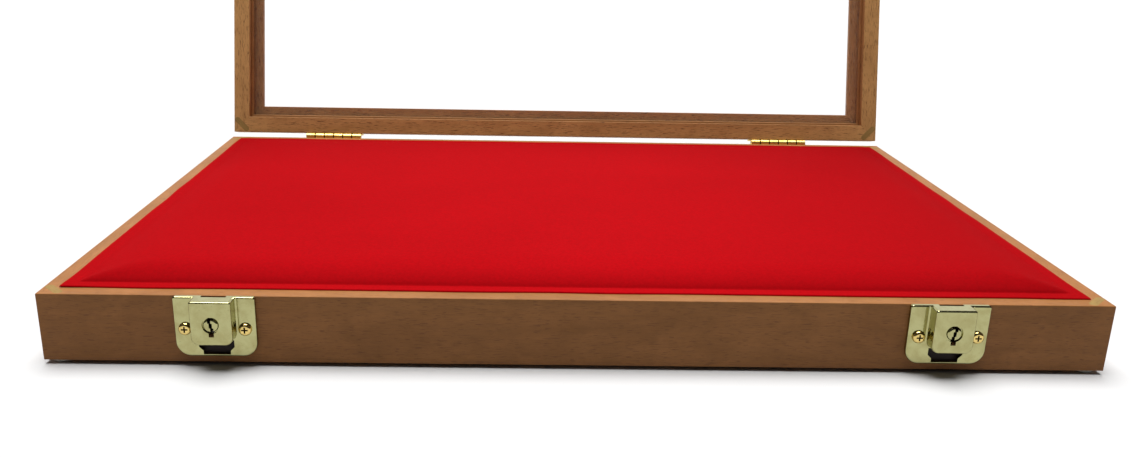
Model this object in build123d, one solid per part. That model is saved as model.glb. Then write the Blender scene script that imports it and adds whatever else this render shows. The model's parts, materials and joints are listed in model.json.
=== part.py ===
"""Coin display tray: a velvet-padded hardwood case under a hinged, glazed lid.

Millimetres. +X is to the right, +Y is to the back and +Z is up. The origin is
the centre of the case's footprint, on the plane that the feet rest on. The lid
is drawn shut, and then turned about the hinge pins to where it stands open.
"""

import math
import os

from build123d import *

# Overall sizes
case_w = 610.0
case_d = 406.4
wall_h = 40.5
wall_t = 14.5
foot_h = 2.5
lid_open_deg = 104.4

# Clearances
glue_gap = 0.05
panel_gap = 0.3
screw_gap = 0.05
running_gap = 0.06
knuckle_gap = 0.2
knuckle_chamfer = 0.4
slide_gap = 0.15
stop_gap = 0.05

# Corner splines
spline_l = 16.6
spline_t = 5.0

# Floor panel and its groove
panel_t = 4.0
panel_lift = 5.0
groove_depth = 5.0

# Feet
foot_r = 6.0
foot_top_r = 5.0
foot_inset = 8.0

# Pad: (inset from the case's outer faces, height over the wall tops) up its shoulder
border_inset = 9.5
velvet_t = 1.0
foam_side_gap = 0.5
shoulder = [(17.5, 1.0), (22.0, 4.0), (45.0, 6.5)]

# Lid
lid_gap = 1.3
lid_t = 16.0
lip_w = 10.4
rabbet_depth = 11.5
glass_t = 3.0
glass_gap = 0.5
bead_w = 2.2
bead_h = 2.4

# Hinges
hinge_x = 211.0
hinge_l = 51.6
knuckle_count = 6
knuckle_r = 2.9
pin_r = 1.25
pin_end_gap = 0.3
leaf_t = 1.4
leaf_w = 14.0
hinge_offset = 3.2
hinge_screw_x = 17.0
hinge_screw_out = 8.6
stop_half_w = 5.0
stop_from = 4.2
stop_to = 6.6
stop_root = 9.0

# Screws: head radius, head height, shank radius, length under the head
hinge_screw = (2.6, 1.3, 1.4, 9.0)
lock_screw = (3.75, 2.2, 1.6, 10.0)
hasp_screw = (2.9, 1.8, 1.4, 9.0)
cross_w = 0.9
cross_depth = 0.9
cross_reach = 0.5

# Locks, with depths measured outwards from the wall
left_lock_x = -205.5
right_lock_x = 210.0
sheet_t = 0.8
plate_w = 46.0
plate_h = 36.0
plate_out = 2.5
plate_lower_r = 8.5
plate_upper_r = 1.5
box_w = 23.2
box_h = 26.0
box_out = 10.5
box_lower_r = 4.5
box_upper_r = 1.3
edge_round = 1.0
flare = 1.3
flare_bend_deg = 45.0
slot_w = 14.0
slot_out = 2.5
window_w = 20.0
window_waist_w = 15.4
window_step = 4.2
window_rim = 1.2
screw_spread = 33.6
screw_drop = 19.0

# Key plug
plug_drop = 13.8
plug_r = 4.3
plug_hole_r = 4.9
plug_proud = 0.5
plug_round = 1.6
collar_r = 5.6
collar_t = 0.8
journal_r = 3.6
keyway_w = 1.8
keyway_depth = 3.5
ward = 0.7
key_notch_w = 2.9
key_notch_h = 2.1
key_turn_deg = 90.0

# Bolt, back plate and spring behind the box
back_plate_out = 4.3
back_plate_t = 0.9
bolt_throw = 3.0
bolt_out = 2.5
bolt_t = 1.4
bolt_half_h = 3.6
bolt_right = 6.5
nose_w = 3.4
nose_h = 4.6
crank_pin_r = 0.9
tail_w = 1.3
tail_drop = 8.2
spring_r = 1.1
spring_wire = 0.35
spring_turns = 7

# Hasps
hasp_w = 38.0
hasp_h = 13.0
hasp_t = 1.6
hasp_lift = 0.6
hasp_corner_r = 5.0
hasp_screw_spread = 28.0
hasp_screw_rise = 7.4
tongue_w = 12.0
tongue_l = 18.0
tongue_off = 0.4
tongue_tip = 2.0
catch_depth = 3.0
catch_gap = 0.7

# Places that follow from the sizes above
wall_top = foot_h + wall_h
front_y = -case_d / 2
back_y = case_d / 2
lid_bottom = wall_top + lid_gap
lid_top = lid_bottom + lid_t
axis_y = back_y + hinge_offset
axis_z = wall_top + lid_gap / 2
panel_bottom = foot_h + panel_lift
panel_top = panel_bottom + panel_t
knuckle_l = hinge_l / knuckle_count
crank_r = bolt_throw / (2 * math.sin(math.radians(key_turn_deg / 2)))

HINGES = {"left": -hinge_x, "right": hinge_x}
LOCKS = {"left": left_lock_x, "right": right_lock_x}
CORNERS = [(-1, -1), (1, -1), (1, 1), (-1, 1)]
nodes = {}


# Shapes shared by many pieces

def block(x, y, z):
    """A box between two values on each axis."""
    size = [abs(b - a) for a, b in (x, y, z)]
    middle = [(a + b) / 2 for a, b in (x, y, z)]
    return Pos(*middle) * Box(*size)


def prism(points, low, high):
    """A level outline, extruded from one height to another."""
    face = make_face(Polyline(*points, close=True))
    return Pos(0, 0, low) * extrude(face, high - low)


def across(points, half_w):
    """An outline in the (y, z) plane, extruded both ways along x."""
    face = Plane.YZ * make_face(Polyline(*points, close=True))
    return extrude(face, half_w, both=True)


def disc(radius, near, far, x=0.0, z=0.0):
    """A disc that faces the front, between two distances out from the wall."""
    return extrude(Plane.XZ.offset(near) * Pos(x, z) * Circle(radius), far - near)


def slab(x, z, out):
    """A box on the wall's front face: its x, its height, and its distance out."""
    return block(x, (-out[0], -out[1]), z)


def round_end_plate(width, height, lower_r, upper_r, near, far):
    """An upright plate whose top edge is at z = 0, with rounded corners."""
    outline = Rectangle(width, height)
    rows = outline.vertices().group_by(Axis.Y)
    outline = fillet(rows[0], lower_r)
    rows = outline.vertices().group_by(Axis.Y)
    outline = fillet(rows[-1], upper_r)
    return extrude(Plane.XZ.offset(near) * Pos(0, -height / 2) * outline, far - near)


def ring_side(side, width, low, high):
    """One mitred side of a frame as large as the case, seen from above."""
    x, y, w = case_w / 2, case_d / 2, width
    outlines = {
        "front": [(-x, -y), (x, -y), (x - w, -y + w), (-x + w, -y + w)],
        "back": [(x, y), (-x, y), (-x + w, y - w), (x - w, y - w)],
        "left": [(-x, y), (-x, -y), (-x + w, -y + w), (-x + w, y - w)],
        "right": [(x, -y), (x, y), (x - w, y - w), (x - w, -y + w)],
    }
    return prism(outlines[side], low, high)


def corner_splines(low, high, gap=0.0):
    """The four loose round-edged tongues that cross the mitres of a frame."""
    pieces = []
    for sx, sy in CORNERS:
        place = Pos(sx * (case_w - wall_t) / 2, sy * (case_d - wall_t) / 2, low)
        tongue = extrude(SlotOverall(spline_l + 2 * gap, spline_t + 2 * gap), high - low)
        pieces.append(place * Rot(0, 0, -45 * sx * sy) * tongue)
    return pieces


def level_rectangle(inset, height):
    """A rectangle inside the case's footprint, at a height over the wall tops."""
    return Pos(0, 0, wall_top + height) * Rectangle(case_w - 2 * inset, case_d - 2 * inset)


def crown(steps):
    """A pillow shape through (inset, height) pairs, from its foot to its top."""
    parts = [
        loft([level_rectangle(*low), level_rectangle(*high)])
        for low, high in zip(steps, steps[1:])
    ]
    return Part() + parts


def screw(size, countersunk):
    """A screw that stands on z = 0 and points down, with a cross in its head."""
    head_r, head_h, shank_r, length = size
    shank = Pos(0, 0, -length / 2) * Cylinder(shank_r, length)
    shank += Pos(0, 0, -length - shank_r / 2) * Cone(0.2, shank_r, shank_r)
    if countersunk:
        head = Pos(0, 0, -head_h / 2) * Cone(shank_r, head_r, head_h)
        top = 0.0
    else:
        head = Pos(0, 0, head_h / 2) * Cylinder(head_r, head_h)
        head = fillet(head.edges().group_by(Axis.Z)[-1], head_h * 0.8)
        top = head_h
    cross = Box(2 * head_r * cross_reach, cross_w, 2 * cross_depth)
    cross += Rot(0, 0, 90) * cross
    return head + shank - Pos(0, 0, top) * cross


def pilot(size, countersunk):
    """The hole that takes such a screw."""
    head_r, head_h, shank_r, length = size
    depth = length + shank_r + screw_gap
    hole = Pos(0, 0, -depth / 2) * Cylinder(shank_r + screw_gap, depth)
    if countersunk:
        r_low, r_high = shank_r + screw_gap, head_r + screw_gap
        hole += Pos(0, 0, -head_h / 2) * Cone(r_low, r_high, head_h)
    return hole


def open_lid(shape):
    """Turns a piece of the shut lid about the hinge pins to where it stands open."""
    to_axis = Pos(0, axis_y, axis_z)
    return to_axis * Rot(-lid_open_deg, 0, 0) * to_axis.inverse() * shape


def group(pieces):
    """Separate solids that share one node."""
    return Compound(children=list(pieces))


# Screw places: each is where the head seats, with local +Z pointing out of the wood

facing_front = Rot(90, 0, 0)
facing_back = Rot(-90, 0, 0)
lock_screw_places = [
    Pos(x + side * screw_spread / 2, front_y - plate_out, wall_top - screw_drop) * facing_front
    for x in LOCKS.values()
    for side in (-1, 1)
]
hasp_screw_places = [
    Pos(x + side * hasp_screw_spread / 2, front_y - hasp_t, lid_bottom + hasp_screw_rise)
    * facing_front
    for x in LOCKS.values()
    for side in (-1, 1)
]
case_hinge_places, lid_hinge_places = [
    [
        Pos(x + side * hinge_screw_x, back_y + leaf_t, axis_z + up * hinge_screw_out) * facing_back
        for x in HINGES.values()
        for side in (-1, 1)
    ]
    for up in (-1, 1)
]


def drilled(shape, size, places, countersunk=False):
    """A piece of wood with the pilot holes for one kind of screw."""
    return shape - [place * pilot(size, countersunk) for place in places]


# Case

def make_case():
    panel_w = case_w - 2 * (wall_t - groove_depth)
    panel_d = case_d - 2 * (wall_t - groove_depth)
    groove = block(
        (-panel_w / 2, panel_w / 2),
        (-panel_d / 2, panel_d / 2),
        (panel_bottom - glue_gap, panel_top + glue_gap),
    )
    grooves = corner_splines(foot_h, wall_top, glue_gap)
    walls = {}
    for side in ("front", "back", "left", "right"):
        walls[side] = ring_side(side, wall_t, foot_h, wall_top) - groove - grooves
    walls["front"] = drilled(walls["front"], lock_screw, lock_screw_places)
    walls["back"] = drilled(walls["back"], hinge_screw, case_hinge_places)
    for side, wall in walls.items():
        nodes[f"{side}_wall"] = wall
    nodes["case_corner_splines"] = group(corner_splines(foot_h, wall_top))
    nodes["floor_panel"] = block(
        (-panel_w / 2 + panel_gap, panel_w / 2 - panel_gap),
        (-panel_d / 2 + panel_gap, panel_d / 2 - panel_gap),
        (panel_bottom, panel_top),
    )


def make_feet():
    foot = Pos(0, 0, foot_h / 2) * Cone(foot_top_r, foot_r, foot_h)
    x, y = case_w / 2 - foot_inset, case_d / 2 - foot_inset
    nodes["bumper_feet"] = group(Pos(sx * x, sy * y) * foot for sx, sy in CORNERS)


def make_pad():
    under = [(inset + velvet_t, height - velvet_t) for inset, height in shoulder]
    inside = wall_t + foam_side_gap
    core = block(
        (-case_w / 2 + inside, case_w / 2 - inside),
        (-case_d / 2 + inside, case_d / 2 - inside),
        (panel_top, wall_top),
    )
    nodes["pad_foam"] = core + crown(under)
    border = extrude(level_rectangle(border_inset, 0), velvet_t)
    nodes["velvet_cover"] = border + crown(shoulder) - crown(under)


# Lid

def make_lid():
    lip_low = lid_bottom + rabbet_depth
    grooves = corner_splines(lid_bottom, lid_top, glue_gap)
    sides = {}
    for side in ("front", "back", "left", "right"):
        frame = ring_side(side, wall_t, lid_bottom, lid_top)
        lip = ring_side(side, wall_t + lip_w, lip_low, lid_top)
        sides[side] = frame + lip - grooves
    sides["front"] = drilled(sides["front"], hasp_screw, hasp_screw_places)
    sides["back"] = drilled(sides["back"], hinge_screw, lid_hinge_places)
    names = {"front": "front_rail", "back": "back_rail", "left": "left_stile", "right": "right_stile"}
    for side, name in names.items():
        nodes[f"lid_{name}"] = open_lid(sides[side])
    nodes["lid_corner_splines"] = open_lid(group(corner_splines(lid_bottom, lid_top)))
    make_glazing(lip_low)


def make_glazing(lip_low):
    x, y = case_w / 2 - wall_t, case_d / 2 - wall_t
    glass_low = lip_low - glass_t
    pane = block(
        (-x + glass_gap, x - glass_gap), (-y + glass_gap, y - glass_gap), (glass_low, lip_low)
    )
    nodes["glass_pane"] = open_lid(pane)
    bead_z = (glass_low - bead_h, glass_low)
    long_x = (-x + glue_gap, x - glue_gap)
    short_y = (-y + bead_w + glue_gap, y - bead_w - glue_gap)
    beads = {
        "front": block(long_x, (-y + glue_gap, -y + bead_w), bead_z),
        "back": block(long_x, (y - bead_w, y - glue_gap), bead_z),
        "left": block((-x + glue_gap, -x + bead_w), short_y, bead_z),
        "right": block((x - bead_w, x - glue_gap), short_y, bead_z),
    }
    for side, bead in beads.items():
        nodes[f"{side}_glazing_bead"] = open_lid(bead)


# Hinges

def stop_lug(up):
    """The lug on a leaf's outer face. Its tip lies on the line halfway between the leaves."""
    half = math.radians(180.0 - lid_open_deg) / 2
    face = leaf_t - hinge_offset
    tips = [
        (
            r * math.sin(half) - stop_gap * math.cos(half),
            -r * math.cos(half) - stop_gap * math.sin(half),
        )
        for r in (stop_to, stop_from)
    ]
    outline = [(face, -stop_from), (face, -stop_root), *tips]
    lug = across(outline, stop_half_w)
    if up:
        lug = mirror(lug, Plane.XY)
    return lug


def hinge_leaf(up):
    """A leaf about its pin's axis. The lid's goes up and has the 1st, 3rd and 5th knuckles."""
    sign = 1 if up else -1
    own = [i for i in range(knuckle_count) if (i % 2 == 0) == up]
    y = (-hinge_offset, leaf_t - hinge_offset)
    root = knuckle_r + knuckle_gap
    leaf = block((-hinge_l / 2, hinge_l / 2), y, (sign * root, sign * leaf_w))
    hole_r = pin_r + running_gap
    for i in own:
        left = -hinge_l / 2 + i * knuckle_l + knuckle_gap / 2
        span = (left, left + knuckle_l - knuckle_gap)
        middle = sum(span) / 2
        leaf += block(span, y, (0, sign * (root + 1)))
        knuckle = Cylinder(knuckle_r, knuckle_l - knuckle_gap)
        leaf += Pos(middle, 0, 0) * Rot(0, 90, 0) * chamfer(knuckle.edges(), knuckle_chamfer)
    leaf -= Rot(0, 90, 0) * Cylinder(hole_r, hinge_l)
    leaf += stop_lug(up)
    return leaf


def make_hinges():
    screw_holes = {"case": case_hinge_places, "lid": lid_hinge_places}
    for name, x in HINGES.items():
        place = Pos(x, axis_y, axis_z)
        case_leaf = drilled(place * hinge_leaf(False), hinge_screw, screw_holes["case"], True)
        lid_leaf = drilled(place * hinge_leaf(True), hinge_screw, screw_holes["lid"], True)
        nodes[f"{name}_hinge_case_leaf"] = case_leaf
        nodes[f"{name}_hinge_lid_leaf"] = open_lid(lid_leaf)
        pin = Rot(0, 90, 0) * Cylinder(pin_r, hinge_l - 2 * pin_end_gap)
        nodes[f"{name}_hinge_pin"] = place * pin
    flat_screw = screw(hinge_screw, True)
    nodes["case_hinge_screws"] = group(place * flat_screw for place in case_hinge_places)
    nodes["lid_hinge_screws"] = open_lid(group(place * flat_screw for place in lid_hinge_places))


# Locks, drawn about the point where a lock's middle meets the top of the wall

def lock_body():
    """A pressed plate with a raised box, open to the wall behind."""
    plate = round_end_plate(plate_w, plate_h, plate_lower_r, plate_upper_r, 0, plate_out)
    plate = fillet(plate.faces().sort_by(Axis.Y)[0].edges(), edge_round)
    box = round_end_plate(box_w, box_h, box_lower_r, box_upper_r, 0, box_out)
    box = fillet(box.faces().sort_by(Axis.Y)[0].edges(), edge_round)
    t = sheet_t
    plate_hollow = round_end_plate(
        plate_w - 2 * t, plate_h - 2 * t, plate_lower_r - t, plate_upper_r - t, 0, plate_out - t
    )
    box_hollow = round_end_plate(
        box_w - 2 * t, box_h - 2 * t, box_lower_r - t, box_upper_r - t, 0, box_out - t
    )
    inward = Pos(0, 0, -t)
    body = plate + box + box_flare() - inward * plate_hollow - inward * box_hollow
    body -= slab((-slot_w / 2, slot_w / 2), (-2 * t, t), (0, slot_out))
    body -= disc(plug_hole_r, box_out - 2 * t, box_out + t, z=-plug_drop)
    notch_low = -plug_drop - plug_hole_r - key_notch_h
    body -= slab(
        (-key_notch_w / 2, key_notch_w / 2), (notch_low, -plug_drop), (box_out - 2 * t, box_out + t)
    )
    for side in (-1, 1):
        hole = disc(lock_screw[2] + running_gap, 0, plate_out + t, side * screw_spread / 2, -screw_drop)
        body -= hole
    return body - lock_window()


def box_flare():
    """Where the box's sides sweep out into the plate, in two slopes."""
    bend = flare * (1 - math.cos(math.radians(flare_bend_deg)))
    slopes = [
        (flare, plate_out, bend, 90 - flare_bend_deg / 2),
        (bend, plate_out + bend, flare - bend, flare_bend_deg / 2),
    ]
    parts = []
    for spread, near, depth, lean in slopes:
        outline = Rectangle(box_w + 2 * spread, box_h)
        outline = fillet(outline.vertices().group_by(Axis.Y)[0], box_lower_r + spread)
        parts.append(extrude(Plane.XZ.offset(near) * Pos(0, -box_h / 2) * outline, depth, taper=lean))
    return Part() + parts


def lock_window():
    """The opening in the plate under the box, narrower at its foot."""
    top, low = -box_h, -plate_h + window_rim
    half, waist = window_w / 2, window_waist_w / 2
    step = top - window_step
    outline = [
        (-half, top), (half, top), (half, step), (waist, step - (half - waist)),
        (waist, low), (-waist, low), (-waist, step - (half - waist)), (-half, step),
    ]
    return extrude(Plane.XZ * make_face(Polyline(*outline, close=True)), plate_out + flare)


def lock_back_plate():
    """Closes the box behind the plug, carries the plug's journal and guides the bolt."""
    inside_x = box_w / 2 - sheet_t
    out = (back_plate_out, back_plate_out + back_plate_t)
    low = -box_h + sheet_t + box_lower_r
    plate = slab((-inside_x, inside_x), (low, -sheet_t - box_upper_r), out)
    plate -= disc(journal_r + running_gap, out[0] - 1, out[1] + 1, z=-plug_drop)
    rail_out = (bolt_out, back_plate_out)
    bolt_high = -plug_drop + bolt_half_h + slide_gap
    bolt_low = -plug_drop - bolt_half_h - slide_gap
    plate += slab((-inside_x, inside_x), (bolt_high, bolt_high + sheet_t), rail_out)
    plate += slab((tail_w, inside_x), (bolt_low - sheet_t, bolt_low), rail_out)
    return plate


def key_plug(hand):
    """A round-faced plug with a keyway of either hand, a collar, a journal and a crank pin."""
    collar_far = box_out - sheet_t - slide_gap
    collar_near = collar_far - collar_t
    z = -plug_drop
    head = disc(plug_r, collar_near, box_out + plug_proud, z=z)
    head = fillet(head.edges().sort_by(Axis.Y)[0], plug_round)
    key_bit = slab((-key_notch_w / 2, key_notch_w / 2), (z - 2 * plug_r, z - plug_r), (0, box_out))
    plug = head + disc(collar_r, collar_near, collar_far, z=z) - key_bit
    shoulder_at = back_plate_out + back_plate_t + slide_gap
    plug += disc(plug_r, shoulder_at, collar_near, z=z)
    plug += disc(journal_r, back_plate_out, shoulder_at, z=z)
    swing = math.radians(key_turn_deg / 2)
    crank_x, crank_z = crank_r * math.sin(swing), z + crank_r * math.cos(swing)
    plug += disc(crank_pin_r, bolt_out + slide_gap, back_plate_out, crank_x, crank_z)
    face = box_out + plug_proud
    depth = (face - keyway_depth, face + 1)
    third = plug_r / 3
    for shift, low, high in ((ward, third, plug_r), (0.0, -third, third), (-ward, -plug_r, -third)):
        middle = hand * shift
        plug -= slab((middle - keyway_w / 2, middle + keyway_w / 2), (z + low, z + high), depth)
    return plug


def lock_bolt():
    """A plate with a slot for the crank pin, a nose for the hasp and a tail for the spring."""
    out = (bolt_out, bolt_out + bolt_t)
    z = -plug_drop
    nose_right = -tongue_w / 2 + catch_depth - slide_gap - 0.3
    left = nose_right - nose_w
    plate = slab((left, bolt_right), (z - bolt_half_h, z + bolt_half_h), out)
    swing = math.radians(key_turn_deg / 2)
    slot_x = crank_r * math.sin(swing)
    half = crank_pin_r + slide_gap
    pin_z = (z + crank_r * math.cos(swing) - half, z + crank_r + half)
    plate -= slab((slot_x - half, slot_x + half), pin_z, (out[0] - 1, out[1] + 1))
    plate += slab((left, nose_right), (z - nose_h / 2, z + nose_h / 2), (tongue_off, out[0]))
    plate += slab((-tail_w, 0), (z - tail_drop, z - bolt_half_h), out)
    return plate


def bolt_spring():
    """A coil between the box's left side and the bolt's tail."""
    left = -box_w / 2 + sheet_t + spring_wire
    length = -tail_w - spring_wire - left
    z = -plug_drop - bolt_half_h - spring_r - spring_wire - 2 * slide_gap
    path = Helix(length / spring_turns, length, spring_r)
    wire = Plane(origin=path @ 0, z_dir=path % 0) * Circle(spring_wire / 2)
    coil = sweep(wire, path=path, is_frenet=True)
    out = back_plate_out - spring_r - spring_wire / 2 - slide_gap
    return Pos(left, -out, z) * Rot(0, 90, 0) * coil


def make_locks():
    parts = {
        "lock_body": lock_body(),
        "lock_back_plate": lock_back_plate(),
        "lock_bolt": lock_bolt(),
        "bolt_spring": bolt_spring(),
    }
    for side, x in LOCKS.items():
        for name, shape in parts.items():
            nodes[f"{side}_{name}"] = Pos(x, front_y, wall_top) * shape
        nodes[f"{side}_key_plug"] = Pos(x, front_y, wall_top) * key_plug(math.copysign(1, x))
    round_screw = screw(lock_screw, False)
    nodes["lock_screws"] = group(place * round_screw for place in lock_screw_places)


# Hasps, on the front rail of the lid

def hasp():
    """A plate on the rail, with a tongue that reaches down behind the lock's box."""
    outline = Rectangle(hasp_w, hasp_h)
    outline = fillet(outline.vertices().group_by(Axis.Y)[-1], hasp_corner_r)
    plate = extrude(Plane.XZ * Pos(0, hasp_lift + hasp_h / 2) * outline, hasp_t)
    half = tongue_w / 2
    points = [
        (-half, hasp_lift + 1), (-half, -tongue_l + tongue_tip), (-half + tongue_tip, -tongue_l),
        (half - tongue_tip, -tongue_l), (half, -tongue_l + tongue_tip), (half, hasp_lift + 1),
    ]
    tongue = extrude(
        Plane.XZ.offset(tongue_off) * make_face(Polyline(*points, close=True)), hasp_t - tongue_off
    )
    catch_z = -plug_drop - lid_gap
    catch_half = nose_h / 2 + catch_gap
    catch = slab((-half - 1, -half + catch_depth), (catch_z - catch_half, catch_z + catch_half), (0, 3))
    return plate + tongue - catch


def make_hasps():
    for side, x in LOCKS.items():
        shape = Pos(x, front_y, lid_bottom) * hasp()
        shape = drilled(shape, hasp_screw, hasp_screw_places)
        nodes[f"{side}_hasp"] = open_lid(shape)
    round_screw = screw(hasp_screw, False)
    nodes["hasp_screws"] = open_lid(group(place * round_screw for place in hasp_screw_places))


def main():
    make_case()
    make_feet()
    make_pad()
    make_lid()
    make_hinges()
    make_locks()
    make_hasps()
    os.makedirs("parts", exist_ok=True)
    for name, shape in nodes.items():
        export_step(shape, f"parts/{name}.step")


main()
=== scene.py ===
"""Looks of a coin display tray: a velvet pad in a hardwood case under a glazed lid.

Metres. +X is to the right, +Y is to the back and +Z is up. Sizes and places come
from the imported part. Pieces of the lid are worked out shut and then turned about
the hinge pins to where the lid stands open.
"""

import json
import math

import bpy
import numpy as np
from mathutils import Matrix, Vector


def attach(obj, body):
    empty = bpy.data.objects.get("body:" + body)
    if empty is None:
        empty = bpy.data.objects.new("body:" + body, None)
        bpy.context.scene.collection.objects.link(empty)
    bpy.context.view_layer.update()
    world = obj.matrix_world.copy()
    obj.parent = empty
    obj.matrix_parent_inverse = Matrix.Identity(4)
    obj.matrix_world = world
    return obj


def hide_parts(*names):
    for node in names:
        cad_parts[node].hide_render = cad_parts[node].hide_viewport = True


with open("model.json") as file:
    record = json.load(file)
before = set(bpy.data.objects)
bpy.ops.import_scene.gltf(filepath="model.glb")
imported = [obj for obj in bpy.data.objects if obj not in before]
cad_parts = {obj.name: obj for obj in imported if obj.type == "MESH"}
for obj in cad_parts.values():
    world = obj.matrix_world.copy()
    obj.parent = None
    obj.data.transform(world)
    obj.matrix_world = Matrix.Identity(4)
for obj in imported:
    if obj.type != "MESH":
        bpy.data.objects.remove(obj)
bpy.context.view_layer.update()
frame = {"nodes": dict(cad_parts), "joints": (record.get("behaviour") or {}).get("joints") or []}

bl_info = {
    "name": "Coin display tray",
    "version": (1, 0, 0),
    "blender": (4, 5, 0),
    "location": "View3D > Sidebar > Display tray",
    "description": "Builds the looks of a velvet-padded display tray with a glazed lid",
    "category": "Object",
}

MM = 0.001


# ---------------------------------------------------------------- places in the part

def joint_named(name):
    return next(j for j in frame["joints"] if j["name"] == name)


LID_HINGE = joint_named("lid_hinge")
HINGE_PLACE = np.array(LID_HINGE["pos_m"])
LID_TURN = math.radians(LID_HINGE["range_deg"][0])


def turned_x(points, angle):
    """The points turned by an angle about the line through the hinge pins."""
    y, z = (points - HINGE_PLACE)[..., 1], (points - HINGE_PLACE)[..., 2]
    turned = np.array(points, float)
    turned[..., 1] = HINGE_PLACE[1] + y * math.cos(angle) - z * math.sin(angle)
    turned[..., 2] = HINGE_PLACE[2] + y * math.sin(angle) + z * math.cos(angle)
    return turned


def opened(points):
    """Points of the shut lid, carried to where the lid stands open."""
    return turned_x(points, LID_TURN)


def node_points(node):
    mesh = frame["nodes"][node].data
    points = np.empty(len(mesh.vertices) * 3)
    mesh.vertices.foreach_get("co", points)
    return points.reshape(-1, 3)


def box(node, shut=False):
    """Lowest and highest corner of a node, for a lid node with the lid shut."""
    points = node_points(node)
    if shut:
        points = turned_x(points, -LID_TURN)
    return points.min(0), points.max(0)


FRONT, RIGHT = box("front_wall"), box("right_wall")
CASE_HALF = np.array([FRONT[1][0], RIGHT[1][1]])
WALL_LOW, WALL_TOP = FRONT[0][2], FRONT[1][2]
WALL_T = FRONT[1][1] - FRONT[0][1]
PANEL = box("floor_panel")
VELVET = box("velvet_cover")
LID_RAIL = box("lid_front_rail", shut=True)
LID_LOW, LID_HIGH = LID_RAIL[0][2], LID_RAIL[1][2]
LIP_INSET = LID_RAIL[1][1] - LID_RAIL[0][1]
PANE = box("glass_pane", shut=True)
BEAD = box("front_glazing_bead", shut=True)


# ---------------------------------------------------------------- sizes of the finish

# the cover, in from its edge: a flat border, then the shoulder of the padding
BORDER_W = 8.0 * MM
SHOULDER_W = 34 * MM
PADDING_H = 6.0 * MM

# the corner splines' half length, half thickness and end radius
SPLINE_LONG, SPLINE_THICK, SPLINE_END_R = 8.3 * MM, 2.5 * MM, 2.45 * MM

# the window under a lock's box, painted almost black as shade, for the box keeps the light off the wood
# behind it: its two edges over the lock's foot, and its half width
WINDOW_LOW, WINDOW_HIGH, WINDOW_HALF = 1.0 * MM, 10.6 * MM, 10.4 * MM
WINDOW_SHADE = (0.010, 0.0025, 0.0018)

# the painted shade on the lid frame's inner faces, and the painted light on the wall tops, which face the
# light from above
INNER_SHADE = (0.78, 0.66, 0.62)
PAINTED_TOP_LIGHT = (1.48, 1.52, 1.72)

# the painted shade in the lock screws' crosses and in the keyways
LOCK_SCREW_SPREAD, LOCK_SCREW_DROP = 33.6 * MM, 19.0 * MM
CROSS_R, CROSS_DEPTH = 1.95 * MM, 0.12 * MM
KEYWAY_HALF, KEYWAY_R, KEYWAY_DEPTH = 1.7 * MM, 4.2 * MM, 0.2 * MM
RECESS_SHADE = (0.012, 0.006, 0.003)

# the gaps between the hinges' knuckles, painted dark as shade as far out as the barrel goes
KNUCKLES = 6
GAP_HALF, BARREL_REACH = 0.5 * MM, 4.5 * MM
GAP_SHADE = (0.003, 0.0015, 0.0006)

FLOOR_REACH, FLOOR_LINES = 60.0, 25


# ---------------------------------------------------------------- surfaces

def put_mesh(name, points, faces, smooth=True):
    """A new object at the origin, with its place in its mesh."""
    mesh = bpy.data.meshes.new(name)
    mesh.from_pydata(np.asarray(points, float).reshape(-1, 3), [], faces)
    mesh.polygons.foreach_set("use_smooth", np.full(len(mesh.polygons), smooth))
    mesh.validate()
    mesh.update()
    if enclosed(mesh) < 0:
        mesh.flip_normals()
    piece = bpy.data.objects.new(name, mesh)
    bpy.context.scene.collection.objects.link(piece)
    return piece


def enclosed(mesh):
    """The volume inside a closed mesh: negative if its faces point inwards.

    It is a sixth of the sum over its triangles of a . (b x c), for corners a, b and c.
    """
    mesh.calc_loop_triangles()
    points, corners = np.empty(len(mesh.vertices) * 3), np.empty(len(mesh.loop_triangles) * 3, int)
    mesh.vertices.foreach_get("co", points)
    mesh.loop_triangles.foreach_get("vertices", corners)
    a, b, c = np.moveaxis(points.reshape(-1, 3)[corners.reshape(-1, 3)], 1, 0)
    return float(np.einsum("ij,ij->", a, np.cross(b, c)) / 6)


def grid_faces(rows, cols, wrap=False):
    """Quads of a grid of points, in rows. With wrap, the last column meets the first."""
    count = cols if wrap else cols - 1
    r, c = np.meshgrid(np.arange(rows - 1), np.arange(count), indexing="ij")
    here, beside = r * cols + c, r * cols + (c + 1) % cols
    return np.stack([here, beside, beside + cols, here + cols], -1).reshape(-1, 4)


def capped(rows, cols):
    """Faces of a closed tube of rows of points, with a flat cap at each end."""
    last = (rows - 1) * cols
    faces = grid_faces(rows, cols, wrap=True).tolist()
    return faces + [list(range(cols))[::-1], list(range(last, last + cols))]


def eased(corners, radii, steps=4):
    """A closed section whose corners are eased.

    Each corner is cut back along both its sides by its radius, and the two cuts
    are joined by a parabola that has the corner as its control point.
    """
    corner = np.asarray(corners, float)
    radius = np.asarray(radii, float)[:, None]
    to_last, to_next = np.roll(corner, 1, 0) - corner, np.roll(corner, -1, 0) - corner
    before = corner + radius * to_last / np.linalg.norm(to_last, axis=1)[:, None]
    after = corner + radius * to_next / np.linalg.norm(to_next, axis=1)[:, None]
    t = np.linspace(0, 1, steps)[None, :, None]
    curve = (
        (1 - t) ** 2 * before[:, None]
        + 2 * t * (1 - t) * corner[:, None]
        + t**2 * after[:, None]
    )
    return curve.reshape(-1, 2)


SIDES = {
    "front": ((1, 0), (0, 1)),
    "back": ((-1, 0), (0, -1)),
    "left": ((0, -1), (1, 0)),
    "right": ((0, 1), (-1, 0)),
}


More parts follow.
